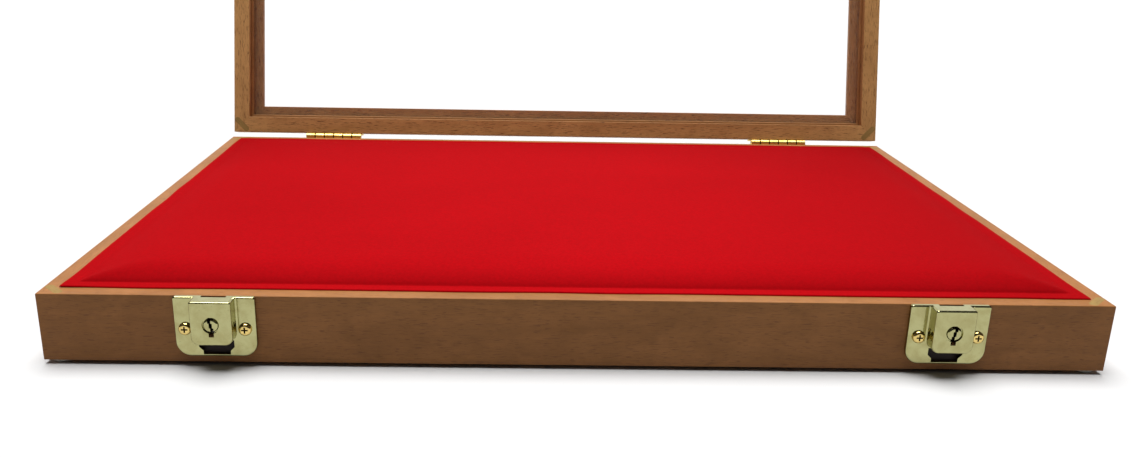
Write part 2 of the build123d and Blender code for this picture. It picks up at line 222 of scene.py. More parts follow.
def mitred(side, half, section, gap=0.0):
    """One side of a mitred frame: points and faces.

    half is the frame's half width and half depth, and section is a closed line of
    (inset from the outer face, height) pairs. It is carried along the side, and each
    point of it stops short of the side's end by its own inset, which cuts the mitre.
    """
    along, inward = (np.array(v, float) for v in SIDES[side])
    reach = abs(along) @ half
    edge = abs(inward) @ half
    inset, height = section[:, 0], section[:, 1]
    stop = reach - inset - gap
    ends = np.array([-1, 1])[:, None] * stop[None, :]
    flat = ends[..., None] * along + (inset - edge)[None, :, None] * inward
    points = np.concatenate([flat, np.broadcast_to(height[None, :, None], ends.shape + (1,))], -1)
    grain = np.stack([ends, np.broadcast_to(inset, ends.shape), np.broadcast_to(height, ends.shape)], -1)
    return points, capped(2, len(section)), grain


def slab(half, corner_r, rows, corner_steps=6):
    """A plate with a rounded outline: points and faces.

    half is its half width and half depth. Each row is an (inset, height) pair: the
    outline drawn in by the inset, at that height. The outline is four quarter turns
    about the corners' centres.
    """
    quarter = np.linspace(0, math.pi / 2, corner_steps)
    turn = (np.arange(4)[:, None] * math.pi / 2 + quarter[None, :]).ravel()
    which = np.repeat(np.arange(4), corner_steps)
    signs = np.array([(1, 1), (-1, 1), (-1, -1), (1, -1)])[which]
    centre = signs * (np.asarray(half) - corner_r)
    inset, height = np.asarray(rows, float).T
    ray = np.stack([np.cos(turn), np.sin(turn)], -1)
    flat = centre[None] + (corner_r - inset)[:, None, None] * ray[None]
    lift = np.broadcast_to(height[:, None, None], flat.shape[:2] + (1,))
    return np.concatenate([flat, lift], -1), capped(len(inset), len(turn))


def eased_rows(low, high, ease, steps=4):
    """Rows for a slab whose lower and upper edges are quarter rounds."""
    a = np.linspace(0, math.pi / 2, steps)
    foot = np.stack([ease * (1 - np.sin(a)), low + ease * (1 - np.cos(a))], -1)
    top = np.stack([ease * (1 - np.cos(a)), high - ease * (1 - np.sin(a))], -1)
    return np.concatenate([foot, top])


def add_grain(piece, grain):
    """Where each point lies in its board: along the fibres, across them, and in height."""
    attribute = piece.data.attributes.new("grain", "FLOAT_VECTOR", "POINT")
    attribute.data.foreach_set("vector", np.asarray(grain, np.float32).ravel())


def joined(parts):
    """Several (points, faces) or (points, faces, grain) pieces as one."""
    start, points, faces, grain = 0, [], [], []
    for part in parts:
        flat = part[0].reshape(-1, 3)
        points.append(flat)
        faces += [[i + start for i in face] for face in part[1]]
        start += len(flat)
        if len(part) > 2:
            grain.append(part[2].reshape(-1, 3))
    return np.concatenate(points), faces, np.concatenate(grain) if grain else None


def hand_over(piece, material, body, slot, *nodes):
    """Gives a piece its material and its body, and hides the nodes that it stands for."""
    piece.data.materials.append(material)
    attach(piece, body)
    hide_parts(*nodes)
    return piece


# ---------------------------------------------------------------- node building

class Nodes:
    """A material's node tree, built up in reading order."""

    def __init__(self, name):
        self.material = bpy.data.materials.new(name)
        self.material.use_nodes = True
        self.tree = self.material.node_tree
        self.tree.nodes.clear()
        self.out = self.add("ShaderNodeOutputMaterial")

    def add(self, kind, links=None, **values):
        """A node, with its properties, its unlinked inputs and its links by name."""
        node = self.tree.nodes.new(kind)
        inputs = {}
        for key, value in values.items():
            if hasattr(node, key):
                setattr(node, key, value)
            else:
                inputs[key.replace("_", " ")] = value
        for key, value in inputs.items():
            node.inputs[key].default_value = value
        for key, source in (links or {}).items():
            self.tree.links.new(source, node.inputs[key])
        return node

    def object_place(self):
        return self.add("ShaderNodeTexCoord").outputs["Object"]

    def attribute(self, name):
        return self.add("ShaderNodeAttribute", attribute_name=name).outputs["Vector"]

    def scaled(self, vector, scale, offset=(0, 0, 0), turn=(0, 0, 0)):
        node = self.add("ShaderNodeMapping", {"Vector": vector})
        node.inputs["Location"].default_value = offset
        node.inputs["Rotation"].default_value = turn
        node.inputs["Scale"].default_value = scale
        return node.outputs["Vector"]

    def noise(self, vector, scale, detail=3.0, roughness=0.55, distortion=0.0):
        node = self.add(
            "ShaderNodeTexNoise",
            {"Vector": vector},
            Scale=scale,
            Detail=detail,
            Roughness=roughness,
            Distortion=distortion,
        )
        return node.outputs["Fac"]

    def range(self, value, low, high, to_low=0.0, to_high=1.0, smooth=False):
        node = self.add("ShaderNodeMapRange", {"Value": value})
        node.interpolation_type = "SMOOTHSTEP" if smooth else "LINEAR"
        node.inputs["From Min"].default_value = low
        node.inputs["From Max"].default_value = high
        node.inputs["To Min"].default_value = to_low
        node.inputs["To Max"].default_value = to_high
        return node.outputs["Result"]

    def math(self, operation, a, b=0.0):
        node = self.add("ShaderNodeMath", operation=operation)
        for socket, value in zip(node.inputs, (a, b)):
            if isinstance(value, (int, float)):
                socket.default_value = value
            else:
                self.tree.links.new(value, socket)
        return node.outputs["Value"]

    def mix(self, factor, a, b, blend="MIX"):
        node = self.add("ShaderNodeMix", data_type="RGBA", blend_type=blend)
        for index, value in ((0, factor), (6, a), (7, b)):
            socket = node.inputs[index]
            if isinstance(value, (int, float)):
                socket.default_value = value
            elif isinstance(value, (tuple, list)):
                socket.default_value = (*value[:3], 1.0)
            else:
                self.tree.links.new(value, socket)
        return node.outputs[2]

    def bump(self, height, distance, strength):
        node = self.add("ShaderNodeBump", {"Height": height}, Distance=distance, Strength=strength)
        return node.outputs["Normal"]

    def finish(self, colour=None, roughness=None, normal=None, **values):
        """The surface shader: linked colour, roughness and normal, constants on its sockets."""
        shader = self.add("ShaderNodeBsdfPrincipled")
        for key, value in values.items():
            name = key.replace("_", " ")
            shader.inputs[name].default_value = (*value, 1.0) if isinstance(value, tuple) else value
        for name, source in (("Base Color", colour), ("Roughness", roughness), ("Normal", normal)):
            if source is not None:
                self.tree.links.new(source, shader.inputs[name])
        self.tree.links.new(shader.outputs["BSDF"], self.out.inputs["Surface"])
        return self.material


def settle(node, material):
    """Gives a CAD node its material."""
    slots = frame["nodes"][node].data.materials
    slots.clear()
    slots.append(material)


# ---------------------------------------------------------------- materials

def wood(
    name, light, dark, pore_dark, roughness, figure, pores,
    slant=0.0, lit_top=None, shaded=(), inside=None,
):
    """Open-pored hardwood with a thin satin finish.

    Broad growth bands and a cloudy figure move the colour between light and dark. Fine
    fibres run with the grain, and short dark pores are where a stretched noise is high.
    lit_top is (height, factor): above that height the colour is multiplied by the factor,
    painted light on the tops, which face the light from above. shaded is a row of (x, low,
    high, half width) places painted almost black as shade. inside is the inset past which
    the frame's inner faces are painted darker as shade.
    """
    n = Nodes(name)
    grain = n.scaled(n.attribute("grain"), (1, 1, 1), turn=(0, 0, slant))
    bands = n.noise(n.scaled(grain, (3.0, 60, 60)), 1.0, 2.0, 0.5, 0.6)
    cloud = n.noise(n.scaled(grain, (34, 60, 60)), 1.0, 4.0, 0.6, 0.8)
    fibres = n.noise(n.scaled(grain, (55, 1500, 1500)), 1.0, 4.0, 0.65)
    pore = n.noise(n.scaled(grain, (190, 2600, 2600), offset=(3.1, 1.7, 0.4)), 1.0, 1.0, 0.4)
    tone = n.math("ADD", n.math("MULTIPLY", bands, 0.4), n.math("MULTIPLY", cloud, 0.6))
    colour = n.mix(n.range(tone, 0.5 - figure, 0.5 + figure, smooth=True), dark, light)
    shade = n.range(fibres, 0.25, 0.75, 0.90, 1.10)
    grey = n.add("ShaderNodeCombineColor", dict.fromkeys(("Red", "Green", "Blue"), shade))
    colour = n.mix(1.0, colour, grey.outputs[0], "MULTIPLY")
    hole = n.range(pore, 0.60, 0.70, 0.0, pores, smooth=True)
    colour = n.mix(hole, colour, pore_dark)
    rough = n.range(fibres, 0.2, 0.8, roughness - 0.07, roughness + 0.10)
    height = n.math("SUBTRACT", n.math("MULTIPLY", fibres, 0.5), hole)
    place = n.add("ShaderNodeSeparateXYZ", {"Vector": n.object_place()}).outputs
    # painted light: above the wall tops' height the colour is made lighter, as the tops face the light from
    # above
    if lit_top is not None:
        level, factor = lit_top
        top = n.range(place["Z"], level - 0.5 * MM, level, smooth=True)
        colour = n.mix(top, colour, n.mix(1.0, colour, factor, "MULTIPLY"))
    # painted shade: past the inset inside, the frame's inner faces are painted darker
    if inside is not None:
        inset = n.add("ShaderNodeAttribute", attribute_name="inset").outputs["Fac"]
        shaded_inner = n.mix(1.0, colour, INNER_SHADE, "MULTIPLY")
        colour = n.mix(n.range(inset, inside - 0.4 * MM, inside), colour, shaded_inner)
    # painted shade: the wood is painted almost black in each of these places, behind a lock's window, where
    # the box keeps the light off it
    for x, low, high, half in shaded:
        soft = 0.2 * MM
        off_x = n.math("ABSOLUTE", n.math("SUBTRACT", place["X"], x))
        across = n.range(off_x, half, half + soft, 1.0, 0.0)
        over, under = n.range(place["Z"], low - soft, low), n.range(place["Z"], high, high + soft, 1.0, 0.0)
        upright = n.math("MULTIPLY", over, under)
        colour = n.mix(n.math("MULTIPLY", across, upright), colour, WINDOW_SHADE)
    return n.finish(colour, rough, n.bump(height, 0.00012, 0.55), Specular_IOR_Level=0.22)


def velvet(name, colour, deep, tint):
    """Short-pile velvet.

    The pile is a fine even noise that moves colour and height. A broad soft noise is
    the nap, brushed this way and that. Painted shade darkens the velvet in the crease at
    the foot of the padding and up the front shoulder, and towards the ends and the back.
    The sheen is the light that the pile's tips catch at a low angle.
    """
    n = Nodes(name)
    painted_shade_colour = tuple(c * 0.4 for c in deep)
    place = n.object_place()
    pile = n.noise(place, 2400, 2.0, 0.6)
    clump = n.noise(place, 520, 3.0, 0.6)
    nap = n.noise(n.scaled(place, (7, 13, 7)), 1.0, 2.0, 0.5, 0.5)
    level = n.math("ADD", n.math("MULTIPLY", pile, 0.5), n.math("MULTIPLY", clump, 0.5))
    shade = n.math("ADD", n.range(level, 0.3, 0.7, 0.05, 0.85), n.range(nap, 0.3, 0.7, -0.06, 0.06))
    base = n.mix(n.range(shade, 0.0, 1.0), deep, colour)
    # painted shade in the crease at the foot of the padding and on the front shoulder
    fold = n.add("ShaderNodeAttribute", attribute_name="fold").outputs["Fac"]
    base = n.mix(n.math("MULTIPLY", fold, 0.36), base, painted_shade_colour)
    at = n.add("ShaderNodeSeparateXYZ", {"Vector": place}).outputs
    # painted shade: the velvet is darker towards the right, the left and the back, where less light falls
    to_right = n.range(at["X"], 0.04, 0.30, 0.0, 0.27, smooth=True)
    to_left = n.range(at["X"], -0.30, -0.06, 0.12, 0.0, smooth=True)
    to_back = n.range(at["Y"], 0.02, 0.20, 0.0, 0.13, smooth=True)
    base = n.mix(n.math("ADD", n.math("ADD", to_right, to_left), to_back), base, painted_shade_colour)
    return n.finish(
        base,
        n.range(level, 0.3, 0.7, 0.85, 1.0),
        n.bump(level, 0.0003, 0.35),
        Specular_IOR_Level=0.02,
        Sheen_Weight=0.07,
        Sheen_Roughness=0.45,
        Sheen_Tint=tint,
    )


def metal(
    name, colour, worn, roughness, spread, marks,
    brushed=(1, 1, 1), recesses=(), joints=(),
):
    """Lacquered or bare metal.

    A broad noise is the uneven tone of handling and age, a stretched fine one is the
    marks of polishing, and together they move the roughness. recesses is a row of
    (x, y, z, half width, radius) places: behind y, they are painted black as shade. joints is a
    row of (x, half width) gaps between knuckles, painted dark as shade as far out as the barrel goes.
    """
    n = Nodes(name)
    place = n.object_place()
    age = n.noise(place, 130, 4.0, 0.6, 0.3)
    fine = n.noise(n.scaled(place, brushed), marks, 3.0, 0.6)
    specks = n.range(n.noise(place, 900, 2.0, 0.6), 0.66, 0.76, 0.0, 0.55, smooth=True)
    base = n.mix(n.range(age, 0.35, 0.70, smooth=True), colour, worn)
    base = n.mix(specks, base, tuple(c * 0.55 for c in worn))
    tone = n.math("ADD", n.math("MULTIPLY", age, 0.5), n.math("MULTIPLY", fine, 0.5))
    rough = n.range(tone, 0.3, 0.7, roughness - spread, roughness + spread)
    at = n.add("ShaderNodeSeparateXYZ", {"Vector": place}).outputs

    def squares(a, b):
        return n.math("ADD", n.math("MULTIPLY", a, a), n.math("MULTIPLY", b, b))

    # painted shade: each recess is painted black behind its face
    for x, y, z, half, radius in recesses:
        off_x = n.math("ABSOLUTE", n.math("SUBTRACT", at["X"], x))
        off_z = n.math("SUBTRACT", at["Z"], z)
        in_round = n.math("LESS_THAN", squares(off_x, off_z), radius**2)
        near = n.math("MULTIPLY", n.math("LESS_THAN", off_x, half), in_round)
        recess_shade = n.math("MULTIPLY", near, n.math("GREATER_THAN", at["Y"], y))
        base = n.mix(recess_shade, base, RECESS_SHADE)
        rough = n.math("MAXIMUM", rough, n.math("MULTIPLY", recess_shade, 0.8))
    # painted shade in the gaps between the knuckles
    for x, half in joints:
        off_y = n.math("SUBTRACT", at["Y"], float(HINGE_PLACE[1]))
        off_z = n.math("SUBTRACT", at["Z"], float(HINGE_PLACE[2]))
        barrel = n.math("LESS_THAN", squares(off_y, off_z), BARREL_REACH**2)
        gap = n.math("LESS_THAN", n.math("ABSOLUTE", n.math("SUBTRACT", at["X"], x)), half)
        gap = n.math("MULTIPLY", gap, barrel)
        base = n.mix(gap, base, GAP_SHADE)
        rough = n.math("MAXIMUM", rough, n.math("MULTIPLY", gap, 0.9))
    return n.finish(base, rough, n.bump(fine, 0.00002, 0.5), Metallic=1.0)


def soft_board(name, light, dark, scale):
    """Pressed board or foam: two noises, one for its lumps and one for its fibres or cells."""
    n = Nodes(name)
    place = n.object_place()
    lumps = n.noise(place, scale, 4.0, 0.6)
    cells = n.noise(place, scale * 14, 2.0, 0.5)
    tone = n.math("ADD", n.math("MULTIPLY", lumps, 0.5), n.math("MULTIPLY", cells, 0.5))
    colour = n.mix(n.range(tone, 0.35, 0.65), dark, light)
    rough = n.range(cells, 0.3, 0.7, 0.75, 0.95)
    return n.finish(colour, rough, n.bump(tone, 0.0003, 0.4), Specular_IOR_Level=0.25)


def clear_glass(name):
    """Float glass, seen through almost unchanged, with a faint film of dust in its tone."""
    n = Nodes(name)
    dust = n.noise(n.object_place(), 60, 5.0, 0.6)
    colour = n.mix(n.range(dust, 0.3, 0.8), (0.88, 0.95, 0.92), (0.94, 0.97, 0.96))
    rough = n.range(dust, 0.4, 0.8, 0.015, 0.05)
    glass = n.finish(colour, rough, Alpha=0.035, Specular_IOR_Level=0.6, IOR=1.5)
    glass.surface_render_method = "BLENDED"
    return glass


def pale_floor(name, colour):
    """A pale painted floor with the least unevenness."""
    n = Nodes(name)
    tone = n.noise(n.object_place(), 3.0, 2.0, 0.5)
    low = tuple(c * 0.985 for c in colour)
    return n.finish(n.mix(tone, low, colour), Roughness=0.85, Specular_IOR_Level=0.1)


# ---------------------------------------------------------------- settings

def colour_prop(name, description, default):
    return bpy.props.FloatVectorProperty(
        name=name, description=description, default=default, size=3, min=0, max=1, subtype="COLOR"
    )


def length_prop(name, description, default):
    return bpy.props.FloatProperty(
        name=name, description=description, default=default, min=0, subtype="DISTANCE", unit="LENGTH"
    )


class TrayWoodSettings(bpy.types.PropertyGroup):
    light: colour_prop("Case wood", "The case's colour in its pale bands", (0.255, 0.104, 0.028))
    dark: colour_prop("Case wood, dark", "The case's colour in its dark bands", (0.190, 0.075, 0.017))
    # painted light: the lid's wood is the case's own wood, painted much lighter for the greater light that
    # falls on the lid's faces
    lid_light: colour_prop("Lid wood", "The lid's colour in its pale bands", (0.575, 0.320, 0.115))
    lid_dark: colour_prop("Lid wood, dark", "The lid's colour in its dark bands", (0.425, 0.225, 0.076))
    pore: colour_prop("Pores", "The colour inside the wood's open pores", (0.085, 0.026, 0.010))
    spline_light: colour_prop("Spline", "The corner splines' pale colour", (0.34, 0.215, 0.066))
    spline_dark: colour_prop("Spline, dark", "The corner splines' darker fibres", (0.26, 0.160, 0.046))
    edge_ease: length_prop("Eased edge", "How far the wood's edges are rubbed back", 0.55 * MM)
    spline_proud: length_prop("Spline height", "How far the splines stand over the wood", 0.04 * MM)


class TrayPadSettings(bpy.types.PropertyGroup):
    colour: colour_prop("Velvet", "The colour of the velvet's pile", (0.47, 0.0022, 0.0056))
    deep: colour_prop("Velvet, deep", "The colour between the tufts of the pile", (0.285, 0.0011, 0.0028))
    sheen: colour_prop("Velvet sheen", "The tint of the light on the pile's tips", (1.0, 0.12, 0.12))
    swell: length_prop("Swell", "The most that the padding lifts the cover", 0.9 * MM)
    tip_lift: length_prop("Lifted tip", "How far the border's front left tip stands up", 0.28 * MM)


class TrayMetalSettings(bpy.types.PropertyGroup):
    hinge: colour_prop("Hinge brass", "The colour of the hinges", (0.92, 0.70, 0.215))
    lock: colour_prop("Lock brass", "The colour of the locks' pressed bodies", (0.43, 0.415, 0.200))
    steel: colour_prop("Lock steel", "The colour of the bolts and springs", (0.45, 0.44, 0.41))
    screw: colour_prop("Screw brass", "The colour of the screws", (0.80, 0.60, 0.21))


class TrayStageSettings(bpy.types.PropertyGroup):
    floor: colour_prop("Floor", "The colour of the floor", (0.635, 0.635, 0.635))
    light: bpy.props.FloatProperty(
        name="Light", description="The strength of the light from above", default=5.0, min=0
    )
    fill: bpy.props.FloatProperty(
        name="Fill", description="The strength of the light from all round", default=0.05, min=0
    )
    back: bpy.props.FloatProperty(
        name="Backdrop", description="The power of the soft light from behind, in watts", default=80, min=0
    )
    lens: bpy.props.FloatProperty(
        name="Lens", description="The camera's focal length in millimetres", default=31.63, min=1
    )


# ---------------------------------------------------------------- operators

class TRAY_OT_case_walls(bpy.types.Operator):
    """Build the four mitred walls of the case"""

    bl_idname = "tray.case_walls"
    bl_label = "Case walls"

    def execute(self, context):
        s = context.scene.tray_wood
        clearance = 0.3 * MM
        groove_in = CASE_HALF[0] - PANEL[1][0] - clearance
        low, high = PANEL[0][2], PANEL[1][2]
        section = eased(
            [
                (0, WALL_LOW), (WALL_T, WALL_LOW), (WALL_T, low), (groove_in, low),
                (groove_in, high), (WALL_T, high), (WALL_T, WALL_TOP), (0, WALL_TOP),
            ],
            [s.edge_ease] * 2 + [0.05 * MM] * 4 + [s.edge_ease] * 2,
        )
        # where each lock's window is, for the painted shade behind it
        windows = [box(f"{side}_lock_body") for side in ("left", "right")]
        shaded = [
            ((low[0] + high[0]) / 2, low[2] + WINDOW_LOW, low[2] + WINDOW_HIGH, WINDOW_HALF)
            for low, high in windows
        ]
        skin = wood(
            "case_wood", tuple(s.light), tuple(s.dark), tuple(s.pore), 0.50, 0.20, 0.5,
            slant=0.035, lit_top=(WALL_TOP, PAINTED_TOP_LIGHT), shaded=shaded,
        )
        for index, side in enumerate(SIDES):
            points, faces, grain = mitred(side, CASE_HALF, section)
            wall = put_mesh(f"case_{side}_wall", points, faces, smooth=False)
            add_grain(wall, grain + np.array([1.7, 0.31, 0.13]) * index)
            hand_over(wall, skin, "case", "case_wood", f"{side}_wall")
        return {"FINISHED"}


class TRAY_OT_lid_frame(bpy.types.Operator):
    """Build the lid's two rails and two stiles"""

    bl_idname = "tray.lid_frame"
    bl_label = "Lid frame"

    def execute(self, context):
        s = context.scene.tray_wood
        shelf = PANE[1][2]
        section = eased(
            [
                (0, LID_LOW), (WALL_T, LID_LOW), (WALL_T, shelf), (LIP_INSET, shelf),
                (LIP_INSET, LID_HIGH), (0, LID_HIGH),
            ],
            [s.edge_ease, s.edge_ease, 0.05 * MM, s.edge_ease, s.edge_ease, s.edge_ease],
        )
        # painted light: the lid takes the same wood as the case, painted much lighter
        skin = wood(
            "lid_wood", tuple(s.lid_light), tuple(s.lid_dark), tuple(s.pore), 0.50, 0.20, 0.8,
            slant=0.05, inside=WALL_T,
        )
        names = {"front": "front_rail", "back": "back_rail", "left": "left_stile", "right": "right_stile"}
        for index, (side, name) in enumerate(names.items()):
            points, faces, grain = mitred(side, CASE_HALF, section)
            member = put_mesh(f"lid_{name}_wood", opened(points), faces, smooth=False)
            add_grain(member, grain + np.array([2.3, 0.57, 0.29]) * (index + 5))
            inset = member.data.attributes.new("inset", "FLOAT", "POINT")
            inset.data.foreach_set("value", grain[..., 1].ravel().copy())
            hand_over(member, skin, "lid", "lid_wood", f"lid_{name}")
        return {"FINISHED"}


class TRAY_OT_corner_splines(bpy.types.Operator):
    """Build the loose tongues that cross the mitres of the case and the lid"""

    bl_idname = "tray.corner_splines"
    bl_label = "Corner splines"

    def execute(self, context):
        s = context.scene.tray_wood
        light, dark, pore = tuple(s.spline_light), tuple(s.spline_dark), tuple(s.pore)
        skin = wood("spline_wood", light, dark, pore, 0.6, 0.25, 0.3)
        centre = CASE_HALF - WALL_T / 2
        for name, body, low, high, node in (
            ("case_splines", "case", WALL_LOW, WALL_TOP, "case_corner_splines"),
            ("lid_splines", "lid", LID_LOW, LID_HIGH, "lid_corner_splines"),
        ):
            parts = []
            rows = eased_rows(low - s.spline_proud, high + s.spline_proud, 0.12 * MM)
            for sx in (-1, 1):
                for sy in (-1, 1):
                    points, faces = slab((SPLINE_LONG, SPLINE_THICK), SPLINE_END_R, rows)
                    a = -math.pi / 4 * sx * sy
                    turn = np.array([[math.cos(a), math.sin(a)], [-math.sin(a), math.cos(a)]])
                    grain = points + np.array([0.4 * sx + 0.9 * sy, 0.2 * sx, 0.1])
                    points = points.copy()
                    points[..., :2] = points[..., :2] @ turn + centre * (sx, sy)
                    parts.append((points, faces, grain))
            points, faces, grain = joined(parts)
            if body == "lid":
                points = opened(points)
            tongues = put_mesh(name, points, faces, smooth=False)
            add_grain(tongues, grain)
            hand_over(tongues, skin, body, "spline_wood", node)
        return {"FINISHED"}


class TRAY_OT_glazing(bpy.types.Operator):
    """Build the glass pane and the four beads that hold it"""

    bl_idname = "tray.glazing"
    bl_label = "Glazing"

    def execute(self, context):
        s = context.scene.tray_wood
        low, high = PANE[0][2], PANE[1][2]
        half = (PANE[1][:2] - PANE[0][:2]) / 2
        points, faces = slab(half, 1.0 * MM, eased_rows(low, high, 0.4 * MM))
        pane = put_mesh("glass_sheet", opened(points), faces, smooth=False)
        hand_over(pane, clear_glass("glass"), "lid", "glass", "glass_pane")

        bead_w, bead_low = BEAD[1][1] - BEAD[0][1], BEAD[0][2]
        section = eased(
            [(0, bead_low), (bead_w, bead_low), (bead_w, low), (0, low)],
            [0.3 * MM, 0.7 * MM, 0.2 * MM, 0.1 * MM],
        )
        light, dark = (
            tuple(c * k for c, k in zip(tone, (0.70, 0.60, 0.58))) for tone in (s.lid_light, s.lid_dark)
        )
        skin = wood("bead_wood", light, dark, tuple(s.pore), 0.55, 0.25, 0.6)
        opening = CASE_HALF - WALL_T - 0.05 * MM
        for index, side in enumerate(SIDES):
            points, faces, grain = mitred(side, opening, section)
            bead = put_mesh(f"{side}_bead", opened(points), faces, smooth=False)
            add_grain(bead, grain + np.array([1.1, 0.23, 0.07]) * (index + 11))
            hand_over(bead, skin, "lid", "bead_wood", f"{side}_glazing_bead")
        return {"FINISHED"}


def line_of_insets(half):
    """Grid lines from one side to the other: close together at the border and the crease."""
    border = [0.0, 0.12, 0.4, 1.0, 2.6, 4.6, 6.4, 7.4, 8.0]
    shoulder = [8.7, 9.8, 11.4, 13.4, 16.0, 19.5, 24.0, 29.5]
    rim = np.array(border + shoulder) * MM
    spacing = 6.2 * MM
    inner = np.linspace(half - rim[-1], -(half - rim[-1]), 2 + int(2 * (half - rim[-1]) / spacing))
    return np.concatenate([half - rim, inner[1:-1], rim[::-1] - half])[::-1]


def cover_height(inset, fold):
    """The cover's top over the wall tops, by the distance in from its edge.

    A rounded edge, a flat border, a crease where the border meets the padding, a
    convex shoulder and an all but level top. fold goes from 0, for a shoulder that
    starts gently, to 1, for one that starts steeply out of a crease.
    """
    edge = 1.0 * MM * np.sqrt(np.clip(1 - (1 - np.clip(inset / (0.5 * MM), 0, 1)) ** 2, 0, 1))
    rise = np.clip((inset - BORDER_W) / SHOULDER_W, 0, 1)
    steep = PADDING_H * (1 - (1 - rise) ** 2.6) ** 0.66
    gentle = PADDING_H * (1 - (1 - rise) ** 2.2) ** 1.25
    crease = -0.45 * MM * np.exp(-((inset - BORDER_W) / (0.8 * MM)) ** 2)
    return edge + fold * (steep + crease) + (1 - fold) * gentle


def front_fold(inset_x, inset_y, y):
    """How much a point belongs to the front shoulder: 1 in front of the corners' diagonals."""
    return (y < 0) / (1 + np.exp(-(inset_x - inset_y) / (2.5 * MM)))


class TRAY_OT_pad(bpy.types.Operator):
    """Build the velvet cover of the pad, with its flat border on the wall tops"""

    bl_idname = "tray.pad"
    bl_label = "Velvet pad"

    def execute(self, context):
        s = context.scene.tray_pad
        half = (VELVET[1][:2] - VELVET[0][:2]) / 2
        xs, ys = line_of_insets(half[0]), line_of_insets(half[1])
        x, y = np.meshgrid(xs, ys)
        inset_x, inset_y = half[0] - abs(x), half[1] - abs(y)
        soft = 5 * MM
        nearest = np.minimum(inset_x, inset_y)
        eased_off = soft * np.exp(-abs(inset_x - inset_y) / soft) * 0.5
        past_crease = np.clip((nearest - BORDER_W) / (10 * MM), 0, 1)
        inset = nearest - eased_off * past_crease
        fold = front_fold(inset_x, inset_y, y)
        height = cover_height(inset, fold)
        # the padding is a little uneven
        wander = (
            np.sin(23 * x + 0.7) * np.sin(31 * y + 1.1) + 0.6 * np.sin(47 * x + 2.0 + 9 * y)
        ) * 0.10 * MM * np.clip((inset - 9 * MM) / (20 * MM), 0, 1)
        # the border is cut by hand, so its edge wanders
        loose = np.clip(1 - nearest / (7 * MM), 0, 1) * 0.32 * MM
        x = x + np.sign(x) * loose * np.sin(57 * y + 2.0 * np.sin(31 * y)) * (inset_x < inset_y)
        y = y + np.sign(y) * loose * np.sin(49 * x + 1.7 * np.sin(23 * x)) * (inset_y < inset_x)
        # the front left tip of the border has come unstuck
        tip = np.exp(-(((x + half[0]) ** 2 + (y + half[1]) ** 2) / (13 * MM) ** 2))
        border = np.clip(1 - (nearest - 3 * MM) / (5 * MM), 0, 1)
        top = WALL_TOP + height + wander + s.tip_lift * tip * border
        under = WALL_TOP + 0.02 * MM + (s.tip_lift + 0.45 * MM) * tip * border
        under = np.minimum(under, top - 0.05 * MM * (nearest > 0.01 * MM))
        upper = np.stack([x, y, top], -1)
        upper[[0, -1], :, 2] = under[[0, -1], :]
        upper[:, [0, -1], 2] = under[:, [0, -1]]
        under = np.where(nearest > BORDER_W, np.maximum(under, top - 1.0 * MM), under)
        lower = np.stack([x, y, under], -1)[1:-1, 1:-1]
        points, faces = closed_sheet(upper, lower)
        cover = put_mesh("velvet_pad_cover", points, faces)
        # painted shade: darkest just past the crease, fading up the shoulder, strongest at the front
        rise = np.clip((nearest - 7.4 * MM) / (1.0 * MM), 0, 1)
        fall = np.clip(1 - (nearest - 8.4 * MM) / (24 * MM), 0, 1) ** 1.5
        shade = rise * fall * (0.1 + 0.9 * fold)
        crease_shade = cover.data.attributes.new("fold", "FLOAT", "POINT")
        crease_shade.data.foreach_set("value", np.concatenate([shade.ravel(), shade[1:-1, 1:-1].ravel()]))
        swell(cover, x.size, inset.ravel(), s.swell)
        extra = cover.modifiers.new("Finer", "SUBSURF")
        extra.levels = extra.render_levels = 1
        skin = velvet("velvet", tuple(s.colour), tuple(s.deep), tuple(s.sheen))
        hand_over(cover, skin, "case", "velvet", "velvet_cover")
        return {"FINISHED"}


def closed_sheet(upper, lower):
    """A grid of points and a smaller grid under its inner points, joined at the rim."""
    rows, cols = upper.shape[:2]
    top = np.arange(rows * cols).reshape(rows, cols)
    bottom = top.copy()
    bottom[1:-1, 1:-1] = rows * cols + np.arange((rows - 2) * (cols - 2)).reshape(rows - 2, cols - 2)
    quads = [top[:-1, :-1], top[:-1, 1:], top[1:, 1:], top[1:, :-1]]
    under = [bottom[:-1, :-1], bottom[1:, :-1], bottom[1:, 1:], bottom[:-1, 1:]]
    faces = np.concatenate([np.stack(q, -1).reshape(-1, 4) for q in (quads, under)])
    points = np.concatenate([upper.reshape(-1, 3), lower.reshape(-1, 3)])
    return points, faces


